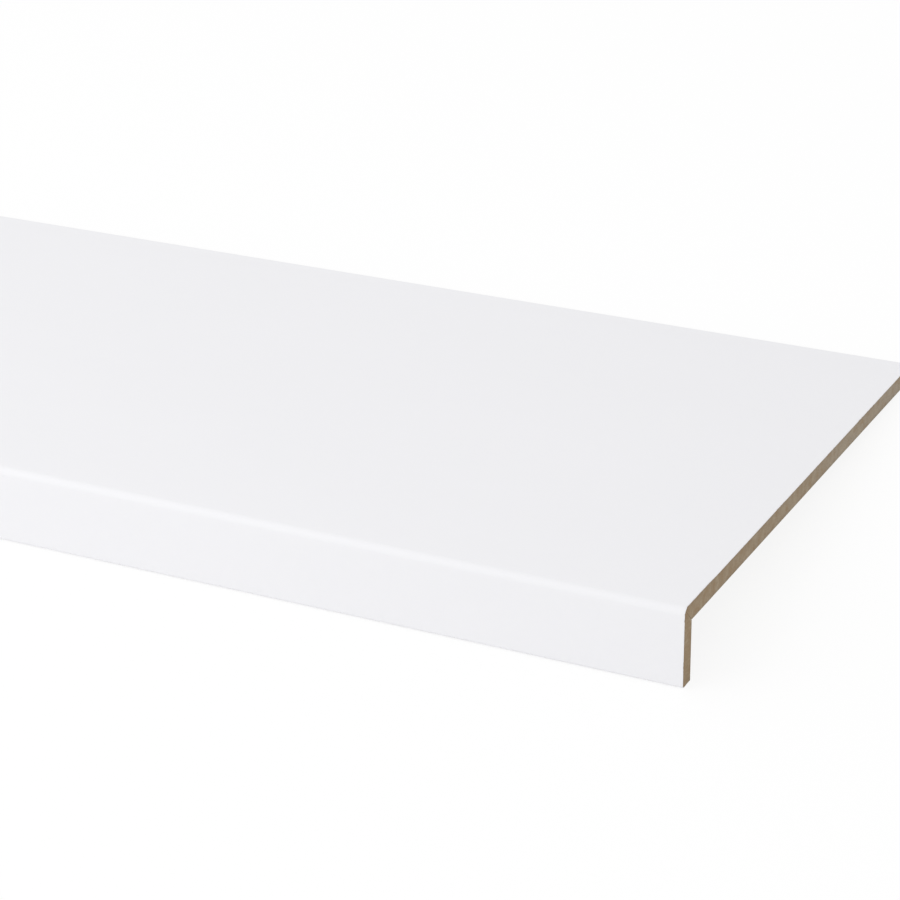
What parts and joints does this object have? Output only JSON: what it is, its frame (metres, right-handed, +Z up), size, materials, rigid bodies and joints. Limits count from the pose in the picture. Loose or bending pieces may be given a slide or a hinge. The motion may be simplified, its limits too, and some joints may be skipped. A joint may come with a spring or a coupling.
{
  "type": "window sill board",
  "caption": "Thin flat window sill board with a folded-down front lip and rounded nose, fibreboard with a white foil face, laid over an old sill to renew it.",
  "frame": {"origin": "centre of the bounding box's base, on the floor that the board lies on", "axes": "+X along the board's length, +Y from the front lip to the back edge, +Z up; the board lies lip down, tipped back by 5.56 degrees, on the back lower edge of its lip and the lower edge of its back"},
  "size_m": [1, 0.302, 0.037],
  "materials": {
    "board_core": "matte",
    "lip_core": "matte",
    "white_foil": "satin"
  },
  "bodies": {
    "root": {"sill_board": "board_core", "nose_lip": "lip_core", "face_foil": "white_foil"}
  },
  "joints": []
}
